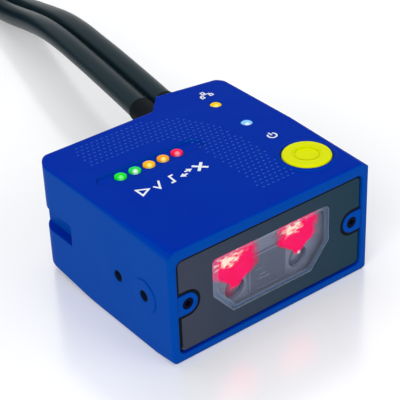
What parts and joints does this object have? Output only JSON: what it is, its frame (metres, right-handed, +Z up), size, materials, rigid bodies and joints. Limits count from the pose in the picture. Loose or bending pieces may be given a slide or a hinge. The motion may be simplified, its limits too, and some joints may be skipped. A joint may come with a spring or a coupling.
{
  "type": "fixed barcode reader",
  "caption": "Small blue fixed barcode reader with a dark front window, status lights and a push button on top, and twin leads.",
  "frame": {"origin": "the middle of the underside of the housing", "axes": "+X to the right seen from the window side, the window looks along -Y, +Z up"},
  "size_m": [0.083, 0.2448, 0.026],
  "materials": {
    "housing_blue": "die-cast aluminium, satin blue paint with a fine grain",
    "window_dark": "smoked moulded plate, smooth",
    "pane_clear": "clear pane, polished",
    "optics_dark": "dark moulded plastic, fine matt",
    "black_plastic": "black moulded plastic, matt",
    "chip_black": "black moulded resin, matt",
    "lamp_red": "clear dome, lit red",
    "lamp_clear": "clear dome, unlit",
    "reflector": "bright plated cup",
    "lens_glass": "coated glass, polished",
    "board_green": "green circuit board, satin",
    "bright_metal": "plated steel, fine turned",
    "black_screw": "blackened steel",
    "connector_ivory": "ivory moulded plastic",
    "flex_amber": "amber film",
    "pipe_green": "light pipe, lit green",
    "pipe_amber": "light pipe, lit amber",
    "pipe_red": "light pipe, lit red",
    "pipe_yellow": "light pipe, lit yellow",
    "pipe_pale": "light pipe, lit pale blue",
    "button_lime": "yellow-green moulded plastic, fine satin",
    "seal_rubber": "black rubber, matt",
    "lead_black": "black cable sheath, fine satin"
  },
  "bodies": {
    "reader": {"housing": "housing_blue", "base_cover": "housing_blue", "base_gasket": "seal_rubber", "cover_screws": "bright_metal", "window_plate": "window_dark", "window_pane": "pane_clear", "window_gasket": "seal_rubber", "front_screws": "black_screw", "optics_frame": "optics_dark", "upper_reflectors": "reflector", "upper_leds": "lamp_red", "lower_lenses": "lens_glass", "lower_leds": "lamp_clear", "illuminator_board": "board_green", "lens_barrel": "black_plastic", "front_lens": "lens_glass", "lens_holder": "black_plastic", "image_sensor": "chip_black", "sensor_board": "board_green", "board_spacers": "bright_metal", "main_board": "board_green", "processor": "chip_black", "memory_chip": "chip_black", "board_flex": "flex_amber", "board_connector": "connector_ivory", "stack_spacers": "bright_metal", "interface_board": "board_green", "network_transformer": "chip_black", "lead_connector": "connector_ivory", "hmi_board": "board_green", "hmi_screws": "bright_metal", "indicator_leds": "lamp_clear", "status_light_1": "pipe_green", "status_light_2": "pipe_green", "status_light_3": "pipe_amber", "status_light_4": "pipe_amber", "status_light_5": "pipe_red", "network_light": "pipe_yellow", "power_light": "pipe_pale", "switch_body": "black_plastic", "cable_boot": "seal_rubber", "power_lead": "lead_black", "power_coil": "lead_black", "power_tail": "lead_black", "power_plug": "black_plastic", "power_plug_nut": "bright_metal", "network_lead": "lead_black", "network_coil": "lead_black", "network_tail": "lead_black", "network_plug": "black_plastic", "network_plug_nut": "bright_metal", "coil_tie": "black_plastic"},
    "button": {"push_button": "button_lime", "switch_plunger": "connector_ivory"}
  },
  "joints": [
    {"name": "button_press", "type": "slide", "parent": "reader", "child": "button", "axis": [0, 0, -1], "range_m": [0, 0.0005], "stiffness_N_per_m": 4000}
  ]
}
